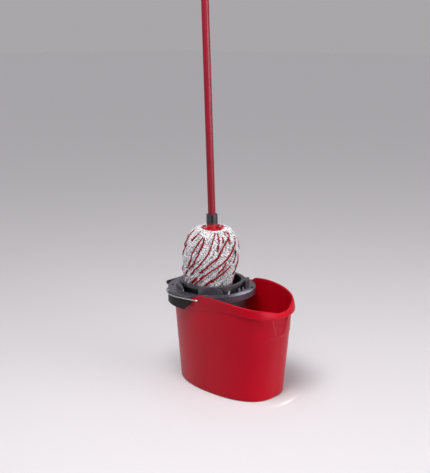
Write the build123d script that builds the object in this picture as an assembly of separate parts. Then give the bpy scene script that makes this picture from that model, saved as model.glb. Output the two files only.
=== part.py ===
"""Mop and bucket with a press wringer.

Frame: millimetres, +Z up. The origin is on the floor under the bucket, where it is widest.
+X runs along the bucket to its pouring spout, and the wringer sits at the -X end.
Every separate piece is written to its own STEP file.
"""
import os
from math import atan2, cos, degrees, hypot, pi, radians, sin

from build123d import *

# ---- bucket -------------------------------------------------------------------------------
BASE_END = 184.0          # from the origin to the wringer end of the base
BASE_SPOUT = 162.0        # from the origin to the spout end of the base
BASE_HALF_WIDTH = 102.4
ROUND_END = 2.05          # superellipse exponent of the wringer end
ROUND_SPOUT = 2.6         # and of the spout end, which is squarer
DRAFT = 0.08              # outward lean of the wall, mm per mm
WALL = 2.6
FLOOR = 3.4
RIM_HIGH = 300.0          # above every point of the rim
RIM_AT_WRINGER = 284.5    # the frame of the wringer rests just above this
EAR_FOOT = -36.0          # x where the rim starts to climb from the wringer seat
EAR_TOP = -15.0           # x where the climb ends, above the bail pivot
OUTLINE_POINTS = 24
LIP_THICK = 0.8           # least thickness of the lip outside the wall
LIP_SECTIONS = (          # height, and how much further the lip stands out at the spout and the sides
    (190, 13.0, 0.0), (247, 12.0, 0.0), (257, 9.5, 0.5), (266, 5.0, 1.2), (276, 0.6, 2.0), (302, 0.2, 3.6),
)

# ---- grip pocket under the spout ------------------------------------------------------------
POCKET_TOP_HALF = 34.0
POCKET_LOW_HALF = 17.0
POCKET_LOW = 195.0
POCKET_FACE = 172.5       # x of the flat at the back of the pocket

# ---- bail -----------------------------------------------------------------------------------
WIRE_R = 2.0
PIVOT_X = -17.0
PIVOT_Z = 283.5
PIVOT_CLEARANCE = 0.08
BAIL_HALF_WIDTH = 134.6
BAIL_REACH = 197.5        # from the pivot to the middle of the far run
BAIL_BEND = 132.0
BAIL_STUB_END = 119.0     # inner end of the pivot stub
BAIL_DROOP = 3.6          # degrees below level when folded
GRIP_HALF = 50.0
GRIP_R = 6.5
GRIP_OFFSET = 8.5         # grip bar above the wire
GRIP_OUT = 5.0            # and outside it
GRIP_ARM_R = 3.2          # the ends of the arms, which clip round the wire
GRIP_ARM_WIDE = 9.0
GRIP_ARMS = (-34, 0, 34)  # where the arms stand along the grip
GRIP_INSET = 0.4          # the arms' middle, outside the wire's
WASHER_R = 3.4

# ---- wringer --------------------------------------------------------------------------------
WRINGER_X = -79.0         # axis of the wringer
FRAME_R = 128.0
FRAME_HOLE_R = 105.0
FRAME_LOW = 285.0
FRAME_TOP = 288.0
SKIRT_LOW = 270.0
SKIRT_HALF_ANGLE = 66.0
WELL_R = 107.2            # outside of the wall that hangs from the hole's edge
APRON_R_IN = 130.5
APRON_R_OUT = 132.2
APRON_LOW = 246.0
APRON_TOP = 279.0         # above this the frame's own rim continues the apron
RAMP_R_OUT = 109.0
RAMP_TOP = 314.0
RAMP_FALL = 24.0          # degrees over which a ramp comes down to the plate
RAMPS = ((-129, 5), (-70, 15), (20, 15), (110, 15))      # where each starts, and how long it stays level
LUG_ANGLES = (-22, -1, 9, 158, 179, 189)
LUG_LEAN = 24.0           # degrees along the hole's edge
LUG_TIP = 20.0            # and in over the hole
LUG_WIDE = 5.5
LUG_TALL = 15.0
PLATE_SLOT_R = 119.0
PLATE_SLOTS = ((-92, 24), (-140, 14), (-165, 10), (92, 24), (140, 14), (165, 10), (-30, 20), (30, 20))
CUP_R_OUT = 100.5
CUP_R_IN = 98.3
CUP_TOP = 279.0
CUP_FLANGE = 2.2
CUP_LOW = 196.0
CUP_FLOOR = 198.2
CUP_FLOOR_HOLE = 88.0
CUP_GAPS = 8              # openings through the flange, between its two radii
CUP_GAP_R = (101.4, 104.8)
CUP_GAP_HALF_ANGLE = 16
DRAINS = 12
DRAIN_WIDE = 7.0
DRAIN_TALL = 24.0
DRAIN_MIDDLE = 219.0

# ---- press basket ---------------------------------------------------------------------------
STROKE = 25.0             # how far the basket is pushed down
TWIST = 35.0              # degrees that it turns on the way
RING_R = 88.0
RING_WALL = 2.2
RING_TOP = 308.5
RING_LOW = 258.0
RIBS = 24
RIB_WIDE = 2.4
RIB_DEEP = 3.4
RIB_TALL = 42.0
PIN_R = 3.4
PIN_Z = 270.0
PIN_START = 45.0          # degrees, of the first pin
PINS = 4
PIN_REACH = 102.6
SLOT_R = 5.2
FLANGE_R = 93.5           # low flange, which rests on the thrust ring
HEM_R = 97.0              # turned-down hem of the ring
HEM_LOW = 300.0
CONE_LOW_R = 46.0
CONE_LOW = 172.0
CONE_WALL = 2.2
SLATS = 18                # gaps between the slats, and so slats too
SLAT_GAP = 8.0
SLAT_LEAN = 18.0
FOOT_LOW = 164.0
FOOT_WALL = 4.0
FOOT_HOLE_R = 5.0
FOOT_HOLES = 8

# ---- return spring --------------------------------------------------------------------------
THRUST_LOW = 253.0
THRUST_TOP = 257.7
SPRING_R = 91.8
SPRING_WIRE_R = 1.1
SPRING_TURNS = 6

# ---- mop ------------------------------------------------------------------------------------
LEAN = 2.4                # degrees that the handle leans towards the wringer end
HUB_X = -80.5
HUB_TOP = 475.0           # top of the hub, where the collar sits on it
COLLAR_R = 16.5
COLLAR_TALL = 29.0
TUBE_R = 11.0
TUBE_WALL = 0.7
TUBE_LONG = 950.0
TUBE_START = 5.0          # above the top of the hub
TUBE_FIT = 0.1
SOCKET_R = 16.0
SPIGOT_HOLE_R = 9.3
HUB_PLATE_R = 28.0
HUB_LUGS = 8
HUB_LUG_REACH = 33.0
HUB_LUG_TURN = 8.0        # degrees, of the first lug
SCREWS = 3
SCREW_R = 1.5
SCREW_HOLE_R = 1.6
SCREW_CIRCLE = 20.0
BUTTON_ANGLE = -47.0
BUTTON_WIDE = 6.0
BUTTON_TALL = 16.0
CAP_TALL = 52.0
CAP_R = 13.0
EYE_R = 5.0


def superellipse(z, grow=0.0, spout=0.0, side=0.0):
    """Plan outline of the bucket at height z, grown by grow all round."""
    end = BASE_END + DRAFT * z + grow
    front = BASE_SPOUT + DRAFT * z + grow + spout
    half = BASE_HALF_WIDTH + DRAFT * z + grow + side
    points = []
    for i in range(OUTLINE_POINTS):
        t = 2 * pi * (i + 0.5) / OUTLINE_POINTS
        c, s = cos(t), sin(t)
        power = 2 / (ROUND_SPOUT if c > 0 else ROUND_END)
        length = front if c > 0 else -end
        y = half * abs(s) ** power * (1 if s > 0 else -1)
        points.append((length * abs(c) ** power, y, z))
    return make_face(Spline(*points, periodic=True))


def side_slab(points, half=250.0):
    """A slab across the bucket, with the given outline in X and Z."""
    return extrude(make_face(Plane.XZ * Polyline(*points, close=True)), half, both=True)


def rim_line():
    """Height of the rim along the bucket, seen from the side."""
    climb = Polyline((-260, RIM_AT_WRINGER), (EAR_FOOT, RIM_AT_WRINGER), (EAR_TOP, 296.5))
    rim = Spline((EAR_TOP, 296.5), (22, 299), (70, 296), (113, 290), (155, 280.5), (180, 272), (190, 258))
    return climb + rim + Line((190, 258), (240, 258))


def rim_band():
    """Everything between the lower edge of the lip and the rim."""
    low = Spline((240, 200), (184, 247), (120, 262), (60, 264), (-12, 256), (-120, 250), (-260, 248))
    sides = Line((240, 258), (240, 200)) + low + Line((-260, 248), (-260, RIM_AT_WRINGER))
    return extrude(make_face(Plane.XZ * (rim_line() + sides)), 250.0, both=True)


def below_rim():
    """Everything lower than the rim."""
    sides = Polyline((240, 258), (240, -10), (-260, -10), (-260, RIM_AT_WRINGER))
    return extrude(make_face(Plane.XZ * (rim_line() + sides)), 250.0, both=True)


def pocket(extra):
    """The finger pocket under the spout, grown by extra."""
    low = POCKET_LOW - extra
    top = 244.0 + extra
    outline = Polyline(
        (-POCKET_LOW_HALF - extra, low), (POCKET_LOW_HALF + extra, low),
        (POCKET_TOP_HALF + extra, top), (-POCKET_TOP_HALF - extra, top), close=True)
    plane = Plane(origin=(POCKET_FACE - extra, 0, 0), x_dir=(0, 1, 0), z_dir=(1, 0, 0))
    return extrude(plane * make_face(outline), 60.0)


def lip():
    """The rolled lip: low and wide at the spout, leaning out from the wall at the ears."""
    sections = []
    for z, spout, side in LIP_SECTIONS:
        sections.append(superellipse(z, LIP_THICK, spout, side))
    return loft(sections, ruled=True) & rim_band()


def bucket_shell():
    """One moulding: wall, floor, rolled lip, ears for the bail and the finger pocket."""
    outer = loft([superellipse(0), superellipse(RIM_HIGH)], ruled=True)
    inner = loft([superellipse(FLOOR, -WALL), superellipse(RIM_HIGH + 4, -WALL)], ruled=True)
    body = (outer - pocket(0)) & below_rim()
    shell = (body + lip()) - (inner - pocket(WALL))
    holes = Cylinder(WIRE_R + PIVOT_CLEARANCE, 320, rotation=(90, 0, 0))
    return shell - holes.moved(Location((PIVOT_X, 0, PIVOT_Z)))


def at_pivot(shape):
    """Tip a piece of the bail down to its folded position."""
    return shape.moved(Location((PIVOT_X, 0, PIVOT_Z)) * Location((0, 0, 0), (0, -BAIL_DROOP, 0)))


def bail_wire():
    """Round wire bent round the wringer, with a stub through each ear."""
    half, reach, inner = BAIL_HALF_WIDTH, BAIL_REACH, BAIL_STUB_END
    path = FilletPolyline(
        (0, -inner, 0), (0, -half, 0), (-reach, -half, 0), (-reach, half, 0), (0, half, 0), (0, inner, 0),
        radius=[4.5, BAIL_BEND, BAIL_BEND, 4.5])
    section = Plane(origin=path @ 0, z_dir=path % 0) * Circle(WIRE_R)
    wire = sweep(section, path=path)
    for side in (-1, 1):
        wire += Cylinder(WASHER_R, 1.6, rotation=(90, 0, 0)).moved(Location((0, side * (inner + 0.2), 0)))
    return at_pivot(wire)


def bail_grip():
    """Hand grip: a round bar clipped on the wire by three short arms."""
    bar = Cylinder(GRIP_R, 2 * GRIP_HALF, rotation=(90, 0, 0))
    bar = fillet(bar.edges(), 3.0).moved(Location((-BAIL_REACH - GRIP_OUT, 0, GRIP_OFFSET)))
    for y in GRIP_ARMS:
        arm = Box(2 * GRIP_ARM_R, GRIP_ARM_WIDE, GRIP_OFFSET, align=(Align.CENTER, Align.CENTER, Align.MIN))
        arm += Cylinder(GRIP_ARM_R, GRIP_ARM_WIDE, rotation=(90, 0, 0))
        bar += arm.moved(Location((-BAIL_REACH - GRIP_INSET, y, 0)))
    for y in GRIP_ARMS:
        bar -= bail_groove(y)
    return at_pivot(bar)


def bail_groove(y):
    """Room for the wire in one arm of the grip, which follows the wire's bend."""
    path = FilletPolyline(
        (0, -BAIL_HALF_WIDTH, 0), (-BAIL_REACH, -BAIL_HALF_WIDTH, 0),
        (-BAIL_REACH, BAIL_HALF_WIDTH, 0), (0, BAIL_HALF_WIDTH, 0), radius=[BAIL_BEND, BAIL_BEND])
    section = Plane(origin=path @ 0, z_dir=path % 0) * Circle(WIRE_R + 0.05)
    around = Box(60, 12, 30).moved(Location((-BAIL_REACH + 10, y, 0)))
    return sweep(section, path=path) & around


def tube(r_out, r_in, low, top):
    """A ring about the wringer's axis."""
    ring = Cylinder(r_out, top - low, align=(Align.CENTER, Align.CENTER, Align.MIN))
    ring -= Cylinder(r_in, top - low, align=(Align.CENTER, Align.CENTER, Align.MIN))
    return ring.moved(Location((WRINGER_X, 0, low)))


def sector(angle, half_angle, reach=200.0, low=0.0, top=400.0):
    """A wedge of space about the wringer's axis, centred on angle."""
    side = reach / cos(radians(half_angle))
    face = make_face(Polyline(
        (0, 0), (side * cos(radians(-half_angle)), side * sin(radians(-half_angle))),
        (side * cos(radians(half_angle)), side * sin(radians(half_angle))), close=True))
    return extrude(face, top - low).moved(Location((WRINGER_X, 0, low), (0, 0, angle)))


def ramp(start, level):
    """One guide wall on the frame, level at first and then curving down to the plate."""
    half = (level + RAMP_FALL) / 2
    middle = start + half

    def along(angle):
        return RAMP_R_OUT * sin(radians(angle))

    fall = []
    for i in range(5):
        share = i / 4
        angle = -half + level + RAMP_FALL * sin(share * pi / 2)
        fall.append((along(angle), FRAME_TOP - 1 + (RAMP_TOP - FRAME_TOP + 1) * cos(share * pi / 2)))
    back = Polyline(fall[-1], (along(-half), FRAME_TOP - 1), (along(-half), RAMP_TOP), fall[0])
    outline = back + Spline(*fall)
    plane = Plane(origin=(60, 0, 0), x_dir=(0, 1, 0), z_dir=(1, 0, 0))
    prism = extrude(plane * make_face(outline), 60.0).moved(Location((WRINGER_X, 0, 0), (0, 0, middle)))
    return tube(RAMP_R_OUT, FRAME_HOLE_R, FRAME_TOP - 1, RAMP_TOP + 1) & prism


def frame_lug(angle):
    """A short leaning stop that stands on the plate beside the hole."""
    lug = Box(RAMP_R_OUT - FRAME_HOLE_R, LUG_WIDE, LUG_TALL, rotation=(-LUG_LEAN, -LUG_TIP, 0))
    lug = lug.moved(Location(((RAMP_R_OUT + FRAME_HOLE_R) / 2, 0, FRAME_TOP + LUG_TALL / 4)))
    return lug.moved(Location((WRINGER_X, 0, 0), (0, 0, angle)))


def apron_reach():
    """The stretch round the wringer end that the apron covers, with slanting ends."""
    return side_slab([(-230, 240), (-77, 240), (-46, 267), (-46, 300), (-230, 300)])


def plate_slot(angle, length, width=5.0):
    """A drain slot through the plate, along the tangent."""
    slot = extrude(SlotOverall(length, width), 20.0)
    place = Location((WRINGER_X, 0, 275), (0, 0, angle)) * Location((PLATE_SLOT_R, 0, 0), (0, 0, 90))
    return slot.moved(place)


def wringer_frame():
    """Plate that lies on the rim, with a skirt across the bucket and the ramps round its hole."""
    frame = tube(FRAME_R, FRAME_HOLE_R, FRAME_LOW, FRAME_TOP)
    skirt = tube(FRAME_R, FRAME_R - 2.2, SKIRT_LOW, FRAME_TOP) & sector(0, SKIRT_HALF_ANGLE)
    frame += skirt + tube(WELL_R, FRAME_HOLE_R, CUP_TOP, FRAME_TOP)
    rim = tube(APRON_R_OUT, APRON_R_IN, APRON_TOP, FRAME_TOP)
    rim += tube(APRON_R_OUT, FRAME_R - 1, FRAME_LOW, FRAME_TOP)
    frame += rim & apron_reach()
    for start, level in RAMPS:
        frame += ramp(start, level)
    for angle in LUG_ANGLES:
        frame += frame_lug(angle)
    for angle, length in PLATE_SLOTS:
        frame -= plate_slot(angle, length)
    return frame


def rim_apron():
    """Outer apron that hooks over the wringer end of the bucket."""
    return tube(APRON_R_OUT, APRON_R_IN, APRON_LOW, APRON_TOP) & apron_reach()


def pin_slot(middle):
    """Slanting slot for one guide pin, centred on the angle middle."""
    run = (CUP_R_OUT + CUP_R_IN) * sin(radians(TWIST / 2))
    slope = degrees(atan2(STROKE, run))
    slot = Rot(0, 0, -slope) * SlotCenterToCenter(hypot(run, STROKE), 2 * SLOT_R)
    plane = Plane(origin=(70, 0, PIN_Z - STROKE / 2), x_dir=(0, 1, 0), z_dir=(1, 0, 0))
    return extrude(plane * slot, 60.0).moved(Location((WRINGER_X, 0, 0), (0, 0, middle)))


def wringer_cup():
    """Sleeve under the frame: it guides the basket and holds the spring."""
    profile = Polyline(
        (WELL_R, CUP_TOP), (WELL_R, CUP_TOP - CUP_FLANGE),
        (CUP_R_OUT, CUP_TOP - CUP_FLANGE), (CUP_R_OUT, CUP_LOW),
        (CUP_FLOOR_HOLE, CUP_LOW), (CUP_FLOOR_HOLE, CUP_FLOOR), (CUP_R_IN, CUP_FLOOR), (CUP_R_IN, CUP_TOP),
        close=True)
    cup = revolve(Plane.XZ * make_face(profile), Axis.Z).moved(Location((WRINGER_X, 0, 0)))
    for i in range(PINS):
        cup -= pin_slot(PIN_START + 360 / PINS * i + TWIST / 2)
    gap = tube(CUP_GAP_R[1], CUP_GAP_R[0], CUP_TOP - CUP_FLANGE - 1, CUP_TOP + 1)
    for i in range(CUP_GAPS):
        cup -= gap & sector(360 / CUP_GAPS * i, CUP_GAP_HALF_ANGLE)
    for i in range(DRAINS):
        drain = Box(20, DRAIN_WIDE, DRAIN_TALL).moved(Location((CUP_R_IN, 0, DRAIN_MIDDLE)))
        cup -= drain.moved(Location((WRINGER_X, 0, 0), (0, 0, 360 / DRAINS * (i + 0.5))))
    return cup


def return_spring():
    """Wide coil spring between the floor of the cup and the thrust ring."""
    low = CUP_FLOOR + SPRING_WIRE_R + 0.1
    tall = THRUST_LOW - SPRING_WIRE_R - 0.1 - low
    path = Helix(pitch=tall / SPRING_TURNS, height=tall, radius=SPRING_R)
    section = Plane(origin=path @ 0, z_dir=path % 0) * Circle(SPRING_WIRE_R)
    return sweep(section, path=path).moved(Location((WRINGER_X, 0, low)))


def thrust_ring():
    """Loose ring that the basket turns on."""
    return tube(94.5, 89.0, THRUST_LOW, THRUST_TOP)


def basket_ring():
    """Top band of the basket, with inner ribs, a turned-down hem, a low flange and the guide pins."""
    inner = RING_R - RING_WALL
    band = tube(RING_R, inner, RING_LOW, RING_TOP)
    band += tube(HEM_R, inner, RING_TOP - 3, RING_TOP)
    band += tube(HEM_R, HEM_R - RING_WALL, HEM_LOW, RING_TOP)
    band += tube(FLANGE_R, inner, RING_LOW, RING_LOW + 3)
    for i in range(RIBS):
        rib = Box(RIB_DEEP, RIB_WIDE, RIB_TALL).moved(Location((inner - 1.2, 0, 285)))
        band += rib.moved(Location((WRINGER_X, 0, 0), (0, 0, 360 / RIBS * (i + 0.5))))
    for i in range(PINS):
        reach = PIN_REACH - inner - 1
        pin = Cylinder(PIN_R, reach, rotation=(0, 90, 0)).moved(Location((inner + 1 + reach / 2, 0, PIN_Z)))
        band += pin.moved(Location((WRINGER_X, 0, 0), (0, 0, PIN_START + 360 / PINS * i)))
    return band


def basket_slats():
    """Slotted cone that squeezes the strips."""
    top = RING_R - RING_WALL
    profile = Polyline(
        (top, RING_LOW), (CONE_LOW_R, CONE_LOW), (CONE_LOW_R - CONE_WALL, CONE_LOW),
        (top - CONE_WALL, RING_LOW), close=True)
    cone = revolve(Plane.XZ * make_face(profile), Axis.Z).moved(Location((WRINGER_X, 0, 0)))
    for i in range(SLATS):
        cut = Box(70, SLAT_GAP, 64, rotation=(SLAT_LEAN, 0, 0)).moved(Location((66, 0, 215)))
        cone -= cut.moved(Location((WRINGER_X, 0, 0), (0, 0, 360 / SLATS * i)))
    return cone


def basket_foot():
    """Dish that closes the cone, with drain holes."""
    wall = (Align.CENTER, Align.CENTER, Align.MIN)
    foot = Cylinder(CONE_LOW_R, CONE_LOW - FOOT_LOW, align=wall)
    foot -= Cylinder(CONE_LOW_R - FOOT_WALL, 5, align=wall).moved(Location((0, 0, 3)))
    foot -= Cylinder(FOOT_HOLE_R, 20)
    for i in range(FOOT_HOLES):
        place = Location((0, 0, 0), (0, 0, 360 / FOOT_HOLES * i)) * Location((26, 0, 0))
        foot -= Cylinder(FOOT_HOLE_R, 20).moved(place)
    return foot.moved(Location((WRINGER_X, 0, FOOT_LOW)))


def on_mop(shape):
    """Move a piece drawn about Z = 0 at the hub's top to its leaning place."""
    return shape.moved(Location((HUB_X, 0, HUB_TOP)) * Location((0, 0, 0), (0, -LEAN, 0)))


def rod(radius, low, top):
    """A solid cylinder on the mop's axis."""
    piece = Cylinder(radius, top - low, align=(Align.CENTER, Align.CENTER, Align.MIN))
    return piece.moved(Location((0, 0, low)))


def at_screws(shape):
    """Copies of a piece at the three screws of the clamp."""
    return [
        shape.moved(Location((0, 0, 0), (0, 0, 360 / SCREWS * i)) * Location((SCREW_CIRCLE, 0, 0)))
        for i in range(SCREWS)
    ]


def mop_hub():
    """Red hub: a socket on a round plate with upturned lugs."""
    hub = rod(SOCKET_R, -14, 0) + rod(HUB_PLATE_R, -18, -14)
    for i in range(HUB_LUGS):
        lug = Box(7, 10, 11).moved(Location((HUB_LUG_REACH - 3.5, 0, -12.5)))
        arm = Box(12, 10, 4).moved(Location((25, 0, -16)))
        hub += (lug + arm).moved(Location((0, 0, 0), (0, 0, 360 / HUB_LUGS * i + HUB_LUG_TURN)))
    hub -= rod(SPIGOT_HOLE_R, -14, 1)
    for hole in at_screws(rod(SCREW_HOLE_R, -19, -10)):
        hub -= hole
    return on_mop(hub)


def strip_clamp():
    """Ring screwed under the hub, which holds the strips."""
    ring = rod(27.0, -24, -18.1) - rod(12.0, -25, -17)
    for hole in at_screws(rod(SCREW_HOLE_R, -25, -17)):
        ring -= hole
    return on_mop(ring)


def clamp_screws():
    """Three screws through the clamp ring into the hub."""
    screws = Part()
    for screw in at_screws(rod(2 * SCREW_R, -26, -24.1) + rod(SCREW_R, -24.1, -14.5)):
        screws += screw
    return on_mop(screws)


def mop_strips():
    """Plain envelope of the wet strips, from the hub down into the basket."""
    outside = Spline(
        (44, 465), (66, 448), (78, 418), (82, 385), (79, 345),
        (73, 310), (69, 275), (62, 245), (50, 210), (39, 180))
    rest = Polyline((39, 180), (30, 176), (0, 176), (0, 443), (38.5, 443), (38.5, 465), (44, 465))
    body = revolve(Plane.XZ * make_face(outside + rest), Axis.Z)
    return body.moved(Location((WRINGER_X, 0, 0)))


def socket_collar():
    """Grey collar on the end of the handle, with a recess for the button."""
    collar = rod(COLLAR_R, 0, COLLAR_TALL) - rod(TUBE_R + TUBE_FIT, TUBE_START - 0.2, COLLAR_TALL + 1)
    collar -= rod(SPIGOT_HOLE_R, -1, TUBE_START)
    collar = collar - button_block(BUTTON_WIDE, BUTTON_TALL + 6, 12.4, 20.0)
    return on_mop(collar)


def button_block(wide, tall, r_low, r_high):
    """A block that stands on the collar's side at the button's angle."""
    block = Box(r_high - r_low, wide, tall).moved(Location(((r_low + r_high) / 2, 0, COLLAR_TALL / 2 + 1)))
    return block.moved(Location((0, 0, 0), (0, 0, BUTTON_ANGLE)))


def release_button():
    """Push button that frees the mop head from the handle."""
    block = button_block(BUTTON_WIDE - 0.8, BUTTON_TALL, 14.4, 20.0)
    return on_mop(block & rod(COLLAR_R - 0.3, 0, COLLAR_TALL))


def handle_tube():
    """Coated steel tube."""
    top = TUBE_START + TUBE_LONG
    return on_mop(rod(TUBE_R, TUBE_START, top) - rod(TUBE_R - TUBE_WALL, TUBE_START - 1, top + 1))


def handle_plug():
    """Plug in the foot of the tube, with the spigot that enters the hub."""
    inside = TUBE_R - TUBE_WALL - TUBE_FIT
    return on_mop(rod(9.0, -13, TUBE_START) + rod(inside, TUBE_START, 45))


def handle_cap():
    """Cap on the top of the tube, flattened, with a hanging eye."""
    top = TUBE_START + TUBE_LONG
    skirt = 26.0
    cap = rod(CAP_R, top - skirt, top + CAP_TALL - skirt)
    cap = fillet(cap.edges().sort_by(Axis.Z)[-1], 9.0)
    cap -= rod(TUBE_R + TUBE_FIT, top - skirt - 1, top + 0.2)
    for side in (-1, 1):
        flat = Box(40, 12, 30, align=(Align.CENTER, Align.CENTER, Align.MIN))
        cap -= flat.moved(Location((0, side * 13.0, top + 3)))
    cap -= Cylinder(EYE_R, 60, rotation=(90, 0, 0)).moved(Location((0, 0, top + 13)))
    return on_mop(cap)


PARTS = {
    "bucket_shell": bucket_shell,
    "bail_wire": bail_wire,
    "bail_grip": bail_grip,
    "wringer_frame": wringer_frame,
    "rim_apron": rim_apron,
    "wringer_cup": wringer_cup,
    "return_spring": return_spring,
    "thrust_ring": thrust_ring,
    "basket_ring": basket_ring,
    "basket_slats": basket_slats,
    "basket_foot": basket_foot,
    "mop_hub": mop_hub,
    "strip_clamp": strip_clamp,
    "clamp_screws": clamp_screws,
    "mop_strips": mop_strips,
    "socket_collar": socket_collar,
    "release_button": release_button,
    "handle_tube": handle_tube,
    "handle_plug": handle_plug,
    "handle_cap": handle_cap,
}

os.makedirs("parts", exist_ok=True)
for name, make in PARTS.items():
    export_step(make(), f"parts/{name}.step")
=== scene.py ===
"""Looks of the mop and bucket with wringer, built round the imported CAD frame.

Shapes are worked out in millimetres and turned into metres by the factor MM. Lights, camera
and materials are in metres. Angles about the wringer's axis run from +X towards +Y.
"""
import math
import random

import bmesh
import bpy
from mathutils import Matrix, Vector, noise

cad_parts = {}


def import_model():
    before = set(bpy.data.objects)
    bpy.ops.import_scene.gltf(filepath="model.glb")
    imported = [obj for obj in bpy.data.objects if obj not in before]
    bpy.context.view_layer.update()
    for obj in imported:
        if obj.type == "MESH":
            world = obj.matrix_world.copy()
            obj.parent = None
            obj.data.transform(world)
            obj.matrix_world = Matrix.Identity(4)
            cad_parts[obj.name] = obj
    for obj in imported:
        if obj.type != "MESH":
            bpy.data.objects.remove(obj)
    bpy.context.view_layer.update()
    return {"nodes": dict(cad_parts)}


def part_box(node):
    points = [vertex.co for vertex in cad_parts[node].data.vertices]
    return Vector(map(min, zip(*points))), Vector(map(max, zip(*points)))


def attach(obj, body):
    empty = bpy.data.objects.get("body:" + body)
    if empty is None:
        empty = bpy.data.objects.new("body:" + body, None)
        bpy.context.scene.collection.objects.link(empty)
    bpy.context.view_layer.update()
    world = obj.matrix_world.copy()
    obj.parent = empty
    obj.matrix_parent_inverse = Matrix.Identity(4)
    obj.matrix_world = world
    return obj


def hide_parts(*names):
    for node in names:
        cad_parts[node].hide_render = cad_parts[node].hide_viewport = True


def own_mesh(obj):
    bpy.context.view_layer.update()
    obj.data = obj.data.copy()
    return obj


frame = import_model()
MM = 0.001
NOISE_SEED = 5
noise.seed_set(NOISE_SEED)       # noise_vector takes its offsets from this seed

# ---- places and directions ------------------------------------------------------------------
STRIPS_LOW, STRIPS_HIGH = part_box("mop_strips")
AXIS = Vector(((STRIPS_LOW[0] + STRIPS_HIGH[0]) / 2, 0.0, 0.0))     # upright axis of the wringer
RIGHT = Vector((0.739, 0.674, 0.0))       # level directions as the camera sees them
TOWARD = Vector((0.674, -0.739, 0.0))
UP = Vector((0, 0, 1))


# ==== meshes =================================================================================
WELD = 0.00002                   # points nearer than this are one point


def new_object(name, verts, faces, smooth=True):
    """A mesh object at the origin, linked to the scene."""
    mesh = bpy.data.meshes.new(name)
    mesh.from_pydata([tuple(v) for v in verts], [], faces)
    mesh.validate()
    if smooth:
        for poly in mesh.polygons:
            poly.use_smooth = True
    obj = bpy.data.objects.new(name, mesh)
    bpy.context.scene.collection.objects.link(obj)
    return obj


def grid_faces(rows, columns):
    """Quads between closed rows of points, each row holding the same number of columns."""
    faces = []
    for r in range(rows - 1):
        here, above = r * columns, (r + 1) * columns
        for c in range(columns):
            d = (c + 1) % columns
            faces.append((here + c, here + d, above + d, above + c))
    return faces


def end_faces(rows, columns):
    """The two faces that close the first and the last row of a grid."""
    first = tuple(range(columns))[::-1]
    last = tuple((rows - 1) * columns + c for c in range(columns))
    return [first, last]


def weld(obj):
    """Join points that fall together, and turn the faces outward."""
    bm = bmesh.new()
    bm.from_mesh(obj.data)
    bmesh.ops.remove_doubles(bm, verts=bm.verts, dist=WELD)
    bmesh.ops.recalc_face_normals(bm, faces=bm.faces)
    bm.to_mesh(obj.data)
    bm.free()


def smooth_step(low, high, value):
    """0 below low, 1 above high, and a soft ramp between."""
    t = min(1.0, max(0.0, (value - low) / (high - low)))
    return t * t * (3 - 2 * t)


def steps(low, high, count, first=1):
    """Values that run evenly from low to high, from step number first to step number count."""
    return [low + (high - low) * k / count for k in range(first, count + 1)]


def through(points, x):
    """A smooth height through (x, z) points, by cubic Hermite spans."""
    if x <= points[0][0]:
        return points[0][1]
    if x >= points[-1][0]:
        return points[-1][1]
    slopes = []
    for i in range(len(points)):
        a = points[max(0, i - 1)]
        b = points[min(len(points) - 1, i + 1)]
        slopes.append((b[1] - a[1]) / (b[0] - a[0]))
    for i in range(len(points) - 1):
        (x0, z0), (x1, z1) = points[i], points[i + 1]
        if x <= x1:
            w = x1 - x0
            t = (x - x0) / w
            h = (1 + 2 * t) * (1 - t) ** 2 * z0 + t * (1 - t) ** 2 * w * slopes[i]
            return h + t * t * (3 - 2 * t) * z1 + t * t * (t - 1) * w * slopes[i + 1]
    return points[-1][1]


# ==== bucket =================================================================================
BASE_END = 184.0                 # half length of the base at the wringer end
BASE_SPOUT = 162.0               # and at the spout end
BASE_HALF = 102.4                # half width of the base
ROUND_END, ROUND_SPOUT = 2.05, 2.6         # powers of the two half ovals
DRAFT = 0.08                     # how far the wall leans out for each millimetre of height
WALL = 2.6
FLOOR = 3.4
SEAT = 284.5                     # rim height under the wringer
RIM = ((-15, 296.5), (22, 299), (70, 296), (113, 290), (155, 280.5), (179, 271.5), (190, 253))
EAR_RISE = (-38, -14)            # where the rim climbs from the seat to the ear
LIP_EDGE = ((-260, 248), (-120, 250), (-12, 256), (60, 264), (120, 262), (184, 247), (200, 243))
COLUMNS = 380                    # points round the outline
TRACE = 4000                     # points of the fine outline that they are spaced along
RIM_LEVEL, WALL_LEVEL = 290, 285           # heights at which the outline is spaced and read
EARS = (-46, -6)                 # the stretch at the ears with closer columns
EAR_DENSE, SPOUT_DENSE = 3.0, 2.0
SPOUT_FROM = 150                 # x beyond which pocket and nose shape the wall
POCKET_LOW, POCKET_TALL = 195.0, 49.0      # finger pocket under the spout
POCKET_HALF_LOW, POCKET_HALF_HIGH = 17.0, 34.0       # its half width at the bottom and the top
POCKET_SIDE = (3.5, 1.5)         # how far its side slopes inward and outward of its outline
POCKET_SILL = (190, 199)         # heights between which it reaches its full depth
POCKET_OVER = 12                 # how far above the lip's edge the wall still follows the pocket
POCKET_BACK, POCKET_LEAN = 177.2, 0.05     # x of its back wall, and how that leans
NOSE = 6.5                       # how far the pouring nose leads out
NOSE_RISE, NOSE_SIDE = (236, 262), (18, 58)          # heights and half widths over which it fades
CREASE = 1.0                     # step in the wall below the lip
CREASE_STEP, CREASE_FADE, CREASE_REACH = (187.4, 188.4), (190, 232), (110, 160)
CREASE_ROWS = (186.4, 187.2, 187.8, 188.4, 189.0, 190.0, 192.0)
CREASE_LOW = 184                 # height where the rows start to close up to the crease
SEAT_END = (-34, -20)            # where the plain rim of the seat turns into the lip
SPOUT_ROLL = (70, 172)           # where the lip grows into the rolled spout
LIP_SEAT, LIP_EAR = 1.0, 2.6     # how far the lip stands out at the seat, and the ear beyond it
LIP_TOP, LIP_ROLL, ROLL_POWER = 2.2, 7.6, 1.5        # the same at the spout, top and lower edge
LIP_WALL = 2.4
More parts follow.
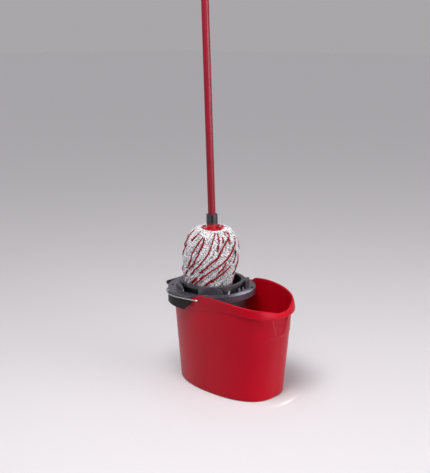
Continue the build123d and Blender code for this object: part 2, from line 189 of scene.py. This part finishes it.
LIP_TALL, LIP_MID = 9, 4         # heights over the lip's edge of two rows in the groove behind it
LIP_START = (0.8, 1.0)           # heights over the lip's edge where its inside and outside start
LIP_LEAST = (0.35, 0.3)          # least gap behind the lip at its edge and higher up
EDGE_R = 1.2                     # rounding of the lip's lower edge
TOP_R = 1.8                      # and of the top of the rim
BASE_R = 5                       # rounding between base and wall, outside
INSIDE_R, INSIDE_TALL, INSIDE_LOW = 5, 4.6, 8      # and inside
FOOT_RING = 0.93                 # share of the base inside which it is raised
FOOT_RECESS = 1.0


def rim_height(x):
    """Height of the rim above the floor at x."""
    ear, top = RIM[0]
    if x < ear:
        return SEAT + (top - SEAT) * smooth_step(*EAR_RISE, x)
    return through(RIM, x)


def plan_point(t, z, grow):
    """Point of the bucket's outline at height z, grown by grow."""
    c, s = math.cos(t), math.sin(t)
    power = 2 / (ROUND_SPOUT if c > 0 else ROUND_END)
    length = (BASE_SPOUT if c > 0 else BASE_END) + DRAFT * z
    half = BASE_HALF + DRAFT * z
    x = math.copysign(length * abs(c) ** power, c)
    y = math.copysign(half * abs(s) ** power, s)
    if grow:
        k = 2 / power - 1
        nx = math.copysign((abs(x) / length) ** k / length, x)
        ny = math.copysign((abs(y) / half) ** k / half, y)
        n = math.hypot(nx, ny)
        x += grow * nx / n
        y += grow * ny / n
    return x, y


def around_rim():
    """Parameters round the outline: even along it, and closer at the ears and the spout."""
    total = [0.0]
    last = plan_point(0.0, RIM_LEVEL, 0)
    for i in range(1, TRACE + 1):
        p = plan_point(2 * math.pi * i / TRACE, RIM_LEVEL, 0)
        dense = 1.0
        if EARS[0] < p[0] < EARS[1]:
            dense = EAR_DENSE
        if p[0] > SPOUT_FROM:
            dense = SPOUT_DENSE
        total.append(total[-1] + math.dist(p, last) * dense)
        last = p
    out = []
    j = 0
    for i in range(COLUMNS):
        want = total[-1] * i / COLUMNS
        while total[j + 1] < want:
            j += 1
        share = (want - total[j]) / (total[j + 1] - total[j])
        out.append(2 * math.pi * (j + share) / TRACE)
    return out


def pocket_depth(y, z):
    """How far the finger pocket under the spout is pushed in, as a share."""
    half = POCKET_HALF_LOW + (POCKET_HALF_HIGH - POCKET_HALF_LOW) * (z - POCKET_LOW) / POCKET_TALL
    across = 1 - smooth_step(half - POCKET_SIDE[0], half + POCKET_SIDE[1], abs(y))
    return across * smooth_step(*POCKET_SILL, z)


def crease(x, z):
    """How far the wall stands out above the crease."""
    step = smooth_step(*CREASE_STEP, z) * (1 - smooth_step(*CREASE_FADE, z))
    return CREASE * step * smooth_step(*CREASE_REACH, x)


def nose(y, z):
    """How far the pouring nose leads outward at the middle of the spout."""
    return NOSE * smooth_step(*NOSE_RISE, z) * (1 - smooth_step(*NOSE_SIDE, abs(y)))


class Column:
    """The profile of the bucket at one place round it."""

    def __init__(self, t):
        self.t = t
        x, _ = plan_point(t, WALL_LEVEL, 0)
        self.top = rim_height(x)
        self.edge = through(LIP_EDGE, x)
        self.spout = smooth_step(*SPOUT_ROLL, x)      # share of the rolled spout in the lip
        self.ear = smooth_step(*SEAT_END, x)          # share of the ear in the lip

    def lip(self, z):
        """How far the lip stands out from the wall at height z."""
        share = min(1.0, max(0.0, (z - self.edge) / (self.top - self.edge)))
        ear = LIP_SEAT + LIP_EAR * share * self.ear
        roll = LIP_TOP + LIP_ROLL * (1 - share ** ROLL_POWER)
        return ear + (roll - ear) * self.spout

    def wall(self, z, grow):
        """Point of the wall at height z, with its pocket, crease and nose."""
        x, y = plan_point(self.t, z, grow)
        if x > SPOUT_FROM and z < self.edge + POCKET_OVER and grow <= 1.0:
            deep = pocket_depth(y, z)
            back = POCKET_BACK - POCKET_LEAN * (z - POCKET_LOW) + grow
            if x > back:
                x += (back - x) * deep
            x += crease(x, z) * (1 - deep)
        if x > SPOUT_FROM and grow < 0:
            x += nose(y, z)
        return x, y, z

    def base_rows(self):
        """From the middle of the underside out and round its edge."""
        x, y = plan_point(self.t, 0, 0)
        rows = []
        for share in (0.0, 0.35, 0.7, 0.9, 0.965):
            rows.append((x * share, y * share, FOOT_RECESS if share < FOOT_RING else 0.0))
        for degrees in steps(0, 90, 4, 0):
            a = math.radians(degrees)
            rows.append(self.wall(BASE_R - BASE_R * math.cos(a), -BASE_R + BASE_R * math.sin(a)))
        return rows

    def wall_rows(self):
        """Up the outside of the wall, closer together at the crease."""
        below = steps(BASE_R, CREASE_LOW, 29)
        above = steps(CREASE_ROWS[-1], self.edge + LIP_TALL, 24)
        return [self.wall(z, 0) for z in (*below, *CREASE_ROWS, *above)]

    def lip_rows(self):
        """Down behind the lip, round its lower edge and up its outside."""
        edge, top = self.edge, self.top
        outer = self.lip(edge)
        inner = max(LIP_LEAST[0], outer - LIP_WALL)
        rows = [
            self.wall(edge + LIP_TALL, inner),
            self.wall(edge + LIP_MID, max(LIP_LEAST[1], self.lip(edge + LIP_MID) - LIP_WALL)),
            self.wall(edge + LIP_START[0], inner),
        ]
        r = (outer - inner) / 2
        for degrees in steps(-60, 90, 3, 0):
            a = math.radians(degrees)
            x, y = plan_point(self.t, edge, (outer + inner) / 2 + r * math.sin(a))
            rows.append((x, y, edge + min(EDGE_R, r) * (1 - math.cos(a))))
        start = edge + LIP_START[1]
        for share in steps(0, 1, 14):
            z = start + (top - TOP_R - start) * share ** 0.9
            rows.append((*plan_point(self.t, z, self.lip(z)), z))
        return rows

    def rim_rows(self):
        """Over the rounded top of the rim."""
        top = self.top
        outer = self.lip(top)
        rows = []
        for share in steps(0, 1, 8)[:-1]:
            a = math.radians(90 - 180 * share)
            x, y = plan_point(self.t, top, (outer - WALL) / 2 + (outer + WALL) / 2 * math.sin(a))
            if x > SPOUT_FROM:
                x += nose(y, top) * share
            rows.append((x, y, top - TOP_R + TOP_R * math.cos(a)))
        return rows

    def inside_rows(self):
        """Down the inside, round its corner and in to the middle of the floor."""
        rows = [self.wall(z, -WALL) for z in steps(self.top - TOP_R, INSIDE_LOW, 33, 0)]
        for degrees in steps(0, 90, 4):
            a = math.radians(degrees)
            x, y = plan_point(self.t, FLOOR, -WALL - INSIDE_R * (1 - math.cos(a)))
            rows.append((x, y, FLOOR + INSIDE_TALL * (1 - math.sin(a))))
        x, y = plan_point(self.t, FLOOR, -WALL)
        for share in (0.7, 0.35, 0.0):
            rows.append((x * share, y * share, FLOOR))
        return rows

    def rows(self):
        """Every point of the profile, from under the floor to inside it."""
        outside = [*self.base_rows(), *self.wall_rows(), *self.lip_rows()]
        return [*outside, *self.rim_rows(), *self.inside_rows()]


def bucket():
    """The red shell as one closed skin."""
    columns = [Column(t).rows() for t in around_rim()]
    rows = len(columns[0])
    verts = []
    for r in range(rows):
        for column in columns:
            x, y, z = column[r]
            verts.append((x * MM, y * MM, z * MM))
    faces = grid_faces(rows, len(columns))
    obj = new_object("bucket_body", verts, [f[::-1] for f in faces])
    weld(obj)
    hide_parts("bucket_shell")
    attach(obj, "bucket")
    return obj


# ==== strips =================================================================================
PROFILE = (                      # height and radius down the outline of the bunch
    (449, 24), (455, 32), (461, 38.5), (462.5, 46), (459, 53.5), (449, 63.5), (435, 71), (418, 76.5),
    (400, 79.5), (385, 80.5), (365, 80), (345, 78), (325, 75), (310, 72.5), (290, 70), (275, 67.5),
    (262, 64), (245, 57), (225, 49), (205, 41), (190, 34), (181, 26),
)
TURN = (                         # height, and degrees that the strips have turned by there
    (176, 150), (260, 118), (310, 85), (340, 62), (370, 40), (400, 22), (430, 11), (462, 0),
)
SHIFT = (                        # height, and how far the bunch sags to one side there
    (176, 0), (225, 5), (262, 9.5), (300, 12), (330, 10.5), (370, 6), (410, 3), (440, 1), (465, 0),
)
ASIDE = -RIGHT                   # the side to which the bunch sags
IN_SIGHT = 262                   # below this height the basket hides the strips
FINE, COARSE = 1.7, 4.5          # spacing of the rings along a strip, in sight and out of it
SHOULDER, SLANT = 450, 38        # below the shoulder the strips slant by about this many degrees
DIP, DIP_TURN, DIP_RISE = 5.0, 30, (436, 456)      # the bunch is lower in front of the hub
LEAST_R = 16.0                   # nearest that a strip comes to the axis
LEAN, TURN_SPREAD = 4, 0.06      # how much strips differ in slant, in degrees, and in turn
DRIFT_WAVE, WRIGGLE_WAVE, WEAVE_WAVE = 0.016, 0.06, 0.045      # waves for each millimetre of height
WRIGGLE = 0.03                   # in radians round the axis
RED_WRIGGLE, RED_LIFT = 0.05, 1.2
RED_WRIGGLE_WAVE, RED_LIFT_WAVE = 0.05, 0.09
RED_SINK, RED_RISE = 8.5, 9.3    # how deep a red strip lies, and how far it comes up in sight
RED_FADE = (6, 2)                # millimetres beyond and within its run over which it comes up
START_SPREAD, SINK_SPREAD = 1.2, 0.9
TAPER_RINGS = 3                  # rings over which a yarn narrows at each end
KNOT_POWER, KNOT_MEAN = 0.7, 0.62
KNOT_DRIFT, KNOT_WAVE, SWAY_WAVE, GRAIN_WAVE, GRAIN_ROUND = 2.2, 0.05, 0.17, 0.6, 1.3
SHADE_MID, SHADE_GAIN = 0.55, 1.3
WHITE_LOOK = {
    "radius": 3.3, "sides": 8, "pitch": 5.8, "knots": 0.60, "sway": 2.1,
    "lobes": 3, "lay": 8.0, "lobe": 0.16, "grain": 0.40,
}
RED_LOOK = {
    "radius": 2.35, "sides": 7, "pitch": 5.0, "knots": 0.14, "sway": 0.5,
    "lobes": 2, "lay": 5.0, "lobe": 0.12, "grain": 0.12,
}
RED_RUNS = (                     # highest and lowest height in sight, and the start angles there
    (462, 434, -89, -92), (448, 398, -68, -69), (448, 352, -62, -43), (464, 336, -41, -26),
    (392, 328, -66, -38), (460, 434, -30, -23), (425, 411, -21, -17), (450, 433, -18, -12),
    (464, 420, 12, -8), (420, 346, -8, -11), (442, 328, 30, 4), (405, 368, 33, 50),
    (364, 318, 44, 38), (372, 344, 25, 30), (332, 296, 7, 7), (320, 292, 34, 34),
    (442, 424, 4, 8), (460, 400, 66, 60), (430, 330, 82, 88), (462, 350, 104, 96),
    (410, 300, 118, 122), (462, 420, 139, 140), (440, 310, 152, 149), (460, 360, 171, 176),
    (400, 300, 188, 190), (466, 453, -4, -7), (466, 455, 0, 6), (322, 311, -6, -5),
    (326, 314, -2, -3), (462, 380, 203, 206), (440, 330, 222, 219), (460, 410, 240, 244),
    (420, 310, 254, 250), (350, 296, -75, -70),
)
RED_SEED = 41
CORE_COLUMNS, CORE_LEAST = 96, 4.0
CORE_SINK, CORE_DROP = 8.5, 2    # how far inside the strips the core lies, and how far below
CORE_RIPPLE, CORE_ROUND, CORE_WAVE = 0.03, 6, 0.05


def outline_samples():
    """Heights and radii along the outline of the bunch, closely spaced where it is seen."""
    out = []
    for (z0, r0), (z1, r1) in zip(PROFILE, PROFILE[1:]):
        long = math.hypot(z1 - z0, r1 - r0)
        slant = 1 / math.cos(math.radians(SLANT if z0 < SHOULDER else 0))
        count = max(2, round(long * slant / (FINE if z0 > IN_SIGHT else COARSE)))
        out += [(z0 + (z1 - z0) * i / count, r0 + (r1 - r0) * i / count) for i in range(count)]
    return out + [PROFILE[-1]]


OUTLINE = outline_samples()


def on_bunch(a, z, radius):
    """Point of the bunch at angle a, where it dips in front of the hub and sags to one side."""
    dip = DIP * max(0.0, math.cos(a + math.radians(DIP_TURN))) * smooth_step(*DIP_RISE, z)
    return Vector((radius * math.cos(a), radius * math.sin(a), z - dip)) + ASIDE * through(SHIFT, z)


def ripple(seed, along, layer):
    """Smooth noise along a strip."""
    return noise.noise(Vector((seed, along, layer)))


def strip_path(rng, start, sink, wander, ride_over):
    """Middle line of one strip from under the hub down into the basket."""
    seed = rng.uniform(0, 100)
    lean = math.radians(rng.gauss(0, LEAN))
    twist = 1 + TURN_SPREAD * math.sin(seed)
    points = []
    for i, (z, r) in enumerate(OUTLINE):
        drift = ripple(seed, z * DRIFT_WAVE, 0.0) * wander
        wriggle = ripple(seed, z * WRIGGLE_WAVE, 5.0) * WRIGGLE
        weave = ripple(seed, z * WEAVE_WAVE, 7.0) * ride_over
        turned = math.radians(start - through(TURN, z) * twist)
        a = turned + drift + wriggle + lean * i / len(OUTLINE)
        points.append(on_bunch(a, z, max(LEAST_R, r - sink + weave)))
    return points


def red_path(rng, high, low, start, end):
    """Middle line of a red strip that shows between the heights high and low, and dives elsewhere."""
    seed = rng.uniform(0, 100)
    beyond, within = RED_FADE
    points = []
    for z, r in OUTLINE:
        share = min(1.0, max(0.0, (high - z) / (high - low)))
        shown = smooth_step(low - beyond, low + within, z)
        shown *= 1 - smooth_step(high - within, high + beyond, z)
        wriggle = ripple(seed, z * RED_WRIGGLE_WAVE, 5.0) * RED_WRIGGLE
        lift = ripple(seed, z * RED_LIFT_WAVE, 7.0) * RED_LIFT
        a = math.radians(start + (end - start) * share - through(TURN, z)) + wriggle
        points.append(on_bunch(a, z, max(LEAST_R, r - RED_SINK + RED_RISE * shown + lift)))
    return points


def yarn_rings(points, look, rng, verts, faces, shades):
    """Add one knobbly yarn along points. Shades holds the painted shade of each point, lower where it lies
    deep in a fold.
    """
    sides = look["sides"]
    base = len(verts)
    phase = rng.uniform(0, 2 * math.pi)
    seed = rng.uniform(0, 500)
    thick = look["radius"] * rng.uniform(0.9, 1.1)
    out = Vector((points[0].x, points[0].y, 0.0)).normalized()
    run = 0.0
    count = len(points)
    for i, p in enumerate(points):
        tangent = (points[min(i + 1, count - 1)] - points[max(i - 1, 0)]).normalized()
        if i:
            run += (p - points[i - 1]).length
        side = tangent.cross(out).normalized()
        out = side.cross(tangent).normalized()
        taper = min(1.0, 0.5 + 0.5 * min(i, count - 1 - i) / TAPER_RINGS)
        drift = KNOT_DRIFT * ripple(seed, run * KNOT_WAVE, 1.0)
        knot = abs(math.sin(math.pi * run / look["pitch"] + drift))
        swell = 1 + look["knots"] * (knot ** KNOT_POWER - KNOT_MEAN)
        sway = noise.noise_vector(Vector((seed, run * SWAY_WAVE, 9.0))) * look["sway"]
        for k in range(sides):
            a = 2 * math.pi * k / sides
            lobe = math.cos(look["lobes"] * a - run * 2 * math.pi / look["lay"] + phase)
            around = (math.cos(a) * GRAIN_ROUND, math.sin(a) * GRAIN_ROUND)
            grain = noise.noise(Vector((seed + run * GRAIN_WAVE, *around)))
            depth = look["lobe"] * lobe + look["grain"] * grain
            r = thick * swell * (1 + depth) * taper
            verts.append(p + sway + side * (r * math.cos(a)) + out * (r * math.sin(a)))
            # painted shade: thinner places between knots and lobes are given a darker value
            shades.append(min(1.0, max(0.0, SHADE_MID + SHADE_GAIN * (swell * (1 + depth) - 1))))
    for face in grid_faces(count, sides) + end_faces(count, sides):
        faces.append(tuple(base + point for point in face))


def bunch(name, verts, faces, shades):
    """One object of yarn, which keeps the painted fold shade of each point."""
    obj = new_object(name, [(AXIS.x + v.x * MM, v.y * MM, v.z * MM) for v in verts], faces)
    layer = obj.data.attributes.new("painted_fold_shade", "FLOAT", "POINT")
    layer.data.foreach_set("value", shades)
    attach(obj, "mop")
    return obj


def strips(name, starts, sink, wander, ride_over, seed, painted_shade_factor=1.0):
    """One bunch of white strips that start at the given angles under the hub; the last argument scales
    their painted fold shade, below one for strips painted darker as shade.
    """
    rng = random.Random(seed)
    verts, faces, shades = [], [], []
    for start in starts:
        turned = start + rng.uniform(-START_SPREAD, START_SPREAD)
        sunk = sink + rng.uniform(-SINK_SPREAD, SINK_SPREAD)
        path = strip_path(rng, turned, sunk, wander, ride_over)
        yarn_rings(path, WHITE_LOOK, rng, verts, faces, shades)
    return bunch(name, verts, faces, [shade * painted_shade_factor for shade in shades])


def red_strips():
    """The thin red strips between the white ones."""
    rng = random.Random(RED_SEED)
    verts, faces, shades = [], [], []
    for run in RED_RUNS:
        yarn_rings(red_path(rng, *run), RED_LOOK, rng, verts, faces, shades)
    return bunch("strips_red", verts, faces, shades)


def every(count, first=0.0):
    """Angles spread evenly round the axis, starting at first."""
    return [first + 360.0 * i / count for i in range(count)]


def core():
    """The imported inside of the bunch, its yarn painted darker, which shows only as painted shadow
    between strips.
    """
    verts = []
    rows = OUTLINE[::3] + [OUTLINE[-1]]
    for z, outer_r in rows:
        radius = max(CORE_LEAST, outer_r - CORE_SINK)
        for c in range(CORE_COLUMNS):
            a = 2 * math.pi * c / CORE_COLUMNS
            place = Vector((math.cos(a) * CORE_ROUND, math.sin(a) * CORE_ROUND, z * CORE_WAVE))
            wavy = radius * (1 + CORE_RIPPLE * noise.noise(place))
            p = on_bunch(a, z - CORE_DROP, wavy) * MM
            verts.append((AXIS.x + p.x, p.y, p.z))
    faces = grid_faces(len(rows), CORE_COLUMNS) + end_faces(len(rows), CORE_COLUMNS)
    obj = new_object("strip_core", verts, faces)
    weld(obj)
    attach(obj, "mop")
    return obj


# ==== spring =================================================================================
COIL_R, COIL_WIRE, COIL_TURNS = 91.8, 1.1, 6
COIL_LOW, COIL_TOP = 199.4, 251.8
COIL_AROUND, COIL_SIDES = 64, 10           # rings in one turn, and points in one ring


def coil():
    """The return spring, as a coil of wire round the axis."""
    count = COIL_TURNS * COIL_AROUND + 1
    verts = []
    for i in range(count):
        a = 2 * math.pi * i / COIL_AROUND
        middle = COIL_LOW + (COIL_TOP - COIL_LOW) * i / (count - 1)
        for k in range(COIL_SIDES):
            b = 2 * math.pi * k / COIL_SIDES
            r = COIL_R + COIL_WIRE * math.cos(b)
            z = middle + COIL_WIRE * math.sin(b)
            verts.append((AXIS.x + r * math.cos(a) * MM, r * math.sin(a) * MM, z * MM))
    obj = new_object("return_coil", verts, grid_faces(count, COIL_SIDES) + end_faces(count, COIL_SIDES))
    weld(obj)
    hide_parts("return_spring")
    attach(obj, "wringer")
    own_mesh(obj)
    return obj


# ==== materials ==============================================================================
class Nodes:
    """A new material, with small helpers that add and join its shader nodes."""

    def __init__(self, name):
        self.material = bpy.data.materials.new(name)
        self.material.use_nodes = True
        self.tree = self.material.node_tree
        self.shader = self.tree.nodes["Principled BSDF"]

    def add(self, kind, **inputs):
        node = self.tree.nodes.new(kind)
        for key, value in inputs.items():
            self.put(node, key.replace("_", " "), value)
        return node

    def put(self, node, socket, value):
        """Join a socket to another node's output, or set its own value."""
        target = node.inputs[socket]
        if isinstance(value, bpy.types.NodeSocket):
            self.tree.links.new(value, target)
        else:
            target.default_value = value

    def set(self, **values):
        """Set or join sockets of the surface shader."""
        for key, value in values.items():
            self.put(self.shader, key.replace("_", " "), value)

    def calculate(self, operation, *values):
        node = self.tree.nodes.new("ShaderNodeMath")
        node.operation = operation
        for socket, value in enumerate(values):
            self.put(node, socket, value)
        return node.outputs["Value"]

    def noise(self, scale, detail=4.0, rough=0.55, distortion=0.0, stretch=(1, 1, 1)):
        """Cloudy noise fixed to the object. Scale counts its waves in one metre."""
        node = self.add("ShaderNodeTexNoise", Scale=scale, Detail=detail, Roughness=rough)
        self.put(node, "Distortion", distortion)
        place = self.add("ShaderNodeTexCoord").outputs["Object"]
        mapping = self.add("ShaderNodeMapping", Scale=stretch, Vector=place)
        self.put(node, "Vector", mapping.outputs["Vector"])
        return node.outputs["Fac"]

    def ramp(self, value, *stops):
        """Colours at the given places of value, from the first stop to the last."""
        node = self.add("ShaderNodeValToRGB", Fac=value)
        elements = node.color_ramp.elements
        while len(elements) < len(stops):
            elements.new(0.5)
        for element, (place, colour) in zip(elements, stops):
            element.position = place
            element.color = (*colour, 1)
        return node.outputs["Color"]

    def remap(self, value, low, high, start=0.3, end=0.7):
        """Low where value is start, and high where it is end."""
        node = self.add("ShaderNodeMapRange", Value=value, From_Min=start, From_Max=end)
        self.put(node, "To Min", low)
        self.put(node, "To Max", high)
        return node.outputs["Result"]

    def bump(self, *layers, edge=0.0):
        """Stack bumps, on rounded edges if edge is given: a layer is (height, distance, strength)."""
        last = None
        if edge:
            rounding = self.add("ShaderNodeBevel", Radius=edge)
            rounding.samples = 6
            last = rounding.outputs["Normal"]
        for height, distance, strength in layers:
            node = self.add("ShaderNodeBump", Distance=distance, Strength=strength, Height=height)
            if last is not None:
                self.put(node, "Normal", last)
            last = node.outputs["Normal"]
        self.set(Normal=last)


def moulded(name, dark, light, rough, grain=900.0, grain_depth=0.00003, specular=0.5, edge=0.0):
    """Moulded plastic: cloudy colour, fine grain and faint scuffs."""
    n = Nodes(name)
    n.set(Base_Color=n.ramp(n.noise(9.0, detail=5.0), (0.3, dark), (0.72, light)))
    scuffs = n.noise(60.0, detail=6.0, rough=0.7, distortion=0.6, stretch=(1, 1, 4))
    n.set(Roughness=n.remap(scuffs, *rough, start=0.35), Specular_IOR_Level=specular)
    waves = (n.noise(26.0, detail=3.0), 0.0004, 0.10)
    n.bump((n.noise(grain, detail=2.0), grain_depth, 0.35), waves, edge=edge)
    return n.material


def translucent(material):
    """Let light into thin red plastic, and tint its reflections."""
    shader = material.node_tree.nodes["Principled BSDF"].inputs
    shader["Subsurface Weight"].default_value = 0.6
    shader["Subsurface Radius"].default_value = (1.0, 0.06, 0.08)
    shader["Subsurface Scale"].default_value = 0.006
    shader["Specular Tint"].default_value = (1.0, 0.3, 0.5, 1)
    return material


def steel(name, tint):
    """Drawn wire with lengthwise die lines."""
    n = Nodes(name)
    dull = tuple(c * 0.8 for c in tint)
    n.set(Base_Color=n.ramp(n.noise(40.0), (0.3, dull), (0.7, tint)), Metallic=1.0)
    rubbed = n.noise(300.0, detail=3.0, rough=0.6, stretch=(1, 6, 6))
    n.set(Roughness=n.remap(rubbed, 0.16, 0.34))
    die_lines = n.noise(900.0, detail=2.0, rough=0.5, stretch=(0.3, 4, 4))
    n.bump((die_lines, 0.00003, 0.3))
    return n.material


def painted_tube():
    """Coated steel tube: faint orange peel and lengthwise streaks."""
    n = Nodes("tube_red")
    streak = n.noise(50.0, rough=0.6, stretch=(1, 1, 0.05))
    n.set(Base_Color=n.ramp(streak, (0.3, (0.17, 0.003, 0.012)), (0.7, (0.22, 0.005, 0.018))))
    n.set(Roughness=n.remap(n.noise(35.0, detail=5.0, rough=0.7), 0.24, 0.4), Specular_IOR_Level=0.3)
    n.bump((n.noise(500.0, detail=2.0), 0.00005, 0.25))
    return n.material


def yarn(name, deep, dark, light, sheen):
    """Fluffy looped yarn with painted shade: darker in its folds, with a painted stipple of shade between
    its loops.
    """
    fine_gain, fold_shade_shift = 2.9, 1.5
    n = Nodes(name)
    painted_fold_shade = n.tree.nodes.new("ShaderNodeAttribute")
    painted_fold_shade.attribute_name = "painted_fold_shade"
    fine = n.noise(210.0, detail=5.0, rough=0.68)
    depth = n.calculate("SUBTRACT", painted_fold_shade.outputs["Fac"], fold_shade_shift)
    shade = n.calculate("MULTIPLY_ADD", fine, fine_gain, depth)
    # the colour ramp paints shade: the fold shade and the fine noise stipple run it from deep through dark
    # to light
    n.set(Base_Color=n.ramp(shade, (0.15, deep), (0.42, dark), (0.74, light)), Roughness=0.95)
    n.set(Sheen_Weight=sheen, Sheen_Roughness=0.5, Specular_IOR_Level=0.15)
    n.bump((fine, 0.003, 1.0), (n.noise(1500.0, detail=2.0), 0.0003, 0.6))
    return n.material


def paint(obj, material):
    """Give an object its one material."""
    obj.data.materials.clear()
    obj.data.materials.append(material)


# ==== stage ==================================================================================
def floor():
    """Pale floor."""
    size = 40.0
    corners = [(-size, -size, 0), (size, -size, 0), (size, size, 0), (-size, size, 0)]
    obj = new_object("floor", corners, [(0, 1, 2, 3)], smooth=False)
    n = Nodes("floor")
    n.set(Base_Color=(0.62, 0.605, 0.625, 1), Roughness=0.8)
    paint(obj, n.material)


def light(name, kind, power):
    """A light of the given kind at the origin, linked to the scene."""
    data = bpy.data.lights.new(name, kind)
    data.energy = power
    obj = bpy.data.objects.new(name, data)
    bpy.context.scene.collection.objects.link(obj)
    return obj


def aim(obj, direction):
    """Turn a light or camera to look along direction."""
    obj.rotation_euler = direction.to_track_quat("-Z", "Y").to_euler()


def lamp(name, place, target, size, power, colour):
    """Soft rectangular lamp."""
    obj = light(name, "AREA", power)
    obj.data.shape = "RECTANGLE"
    obj.data.size, obj.data.size_y = size
    obj.data.color = colour
    obj.location = place
    aim(obj, target - place)


def sky(place, power):
    """Even light from above, as from a large bright ceiling."""
    obj = light("sky", "SUN", power)
    obj.data.angle = math.radians(30)
    aim(obj, -place)


def ceiling(place, power):
    """Narrow downlight over the open end of the bucket."""
    obj = light("ceiling", "SPOT", power)
    obj.data.spot_size = math.radians(6.6)
    obj.data.spot_blend = 0.6
    obj.data.shadow_soft_size = 0.02
    obj.location = place


def camera():
    """The photograph's viewpoint."""
    data = bpy.data.cameras.new("camera")
    data.lens = 65.2
    data.sensor_width = 36.0
    obj = bpy.data.objects.new("camera", data)
    obj.location = (1.577, -1.805, 1.014)
    pitch = math.radians(13.27)
    aim(obj, -TOWARD * math.cos(pitch) - UP * math.sin(pitch))
    bpy.context.scene.collection.objects.link(obj)
    bpy.context.scene.camera = obj


def world():
    """Plain background, a little light from every side."""
    scene_world = bpy.data.worlds.new("world")
    scene_world.use_nodes = True
    back = scene_world.node_tree.nodes["Background"]
    back.inputs["Color"].default_value = (0.40, 0.385, 0.405, 1)
    back.inputs["Strength"].default_value = 1.0
    bpy.context.scene.world = scene_world


world()
camera()
floor()
bpy.context.scene.view_settings.view_transform = "Standard"
lamp("window", RIGHT * 3.0 + TOWARD * 1.9 + UP * 1.15, UP * 0.25, (3.0, 1.2), 82, (1.0, 0.98, 0.97))
lamp("overhead", TOWARD * 0.9 - RIGHT * 0.35 + UP * 2.2, UP * 0.2, (1.0, 1.0), 38, (1.0, 0.985, 0.98))
ceiling((0.105, 0.0, 1.75), 1000)
sky(TOWARD * 0.2 - RIGHT * 0.3 + UP, 0.72)

# ==== the object =============================================================================
GREY = moulded(
    "grey_frame", (0.034, 0.031, 0.042), (0.056, 0.051, 0.070), (0.24, 0.36), specular=0.7, edge=0.0014,
)
GREY_DARK = moulded(
    "grey_apron", (0.008, 0.008, 0.007), (0.014, 0.013, 0.012), (0.5, 0.65),
    grain=700.0, grain_depth=0.00006, specular=0.2,
)
GREY_BASKET = moulded(
    "grey_basket", (0.022, 0.021, 0.026), (0.036, 0.034, 0.042), (0.26, 0.4), specular=0.7, edge=0.0012,
)
GREY_CUP = moulded("grey_cup", (0.022, 0.016, 0.020), (0.034, 0.026, 0.031), (0.4, 0.55), edge=0.0008)
GREY_COLLAR = moulded(
    "grey_collar", (0.018, 0.017, 0.022), (0.030, 0.028, 0.036), (0.3, 0.42), edge=0.0006,
)
RED = translucent(moulded(
    "bucket_red", (0.34, 0.0004, 0.0065), (0.39, 0.0006, 0.009), (0.34, 0.42),
    grain=1500.0, grain_depth=0.00001, specular=0.3,
))
HUB_RED = moulded("hub_red", (0.38, 0.003, 0.012), (0.46, 0.005, 0.018), (0.25, 0.4))
NATURAL = moulded("white_ring", (0.62, 0.60, 0.55), (0.70, 0.68, 0.64), (0.4, 0.5))
STEEL = steel("wire_steel", (0.62, 0.61, 0.59))
SPRING = steel("spring_steel", (0.45, 0.44, 0.43))
TUBE = painted_tube()
WHITE_YARN = yarn("yarn_white", (0.07, 0.06, 0.07), (0.36, 0.34, 0.37), (0.78, 0.77, 0.79), 0.15)
RED_YARN = yarn("yarn_red", (0.09, 0.001, 0.003), (0.20, 0.001, 0.006), (0.30, 0.0015, 0.010), 0.0)
# the core's yarn tones are painted darker than the white yarn, as painted shade inside the bunch
CORE = yarn("yarn_core", (0.14, 0.13, 0.15), (0.30, 0.29, 0.31), (0.5, 0.49, 0.51), 0.3)

paint(bucket(), RED)
paint(coil(), SPRING)
CARRIED_OVER = {
    "bail_wire": STEEL, "bail_grip": GREY_DARK, "wringer_frame": GREY, "rim_apron": GREY_DARK,
    "wringer_cup": GREY_CUP, "thrust_ring": NATURAL, "basket_ring": GREY_BASKET,
    "basket_slats": GREY_BASKET, "basket_foot": GREY_BASKET, "mop_hub": HUB_RED, "strip_clamp": HUB_RED,
    "clamp_screws": SPRING, "socket_collar": GREY_COLLAR, "release_button": GREY_DARK, "handle_tube": TUBE,
    "handle_plug": GREY_DARK, "handle_cap": GREY,
}
for node, material in CARRIED_OVER.items():
    paint(frame["nodes"][node], material)

WHITES, PARTS = 80, 4            # white strips, and the objects that share them
outer = [
    strips(
        f"strips_white_{part}", every(WHITES // PARTS, part * 360 / WHITES),
        sink=3.4, wander=0.05, ride_over=1.6, seed=11 + part,
    )
    for part in range(PARTS)
]
# the under strips are painted darker: their fold shade is scaled to 0.85 as painted shade beneath the
# outer strips
under = strips("strips_under", every(72, 2.0), sink=6.6, wander=0.05, ride_over=1.4, seed=31, painted_shade_factor=0.85)
red = red_strips()
middle = core()
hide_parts("mop_strips")
for obj in [*outer, under]:
    paint(obj, WHITE_YARN)
paint(red, RED_YARN)
paint(middle, CORE)
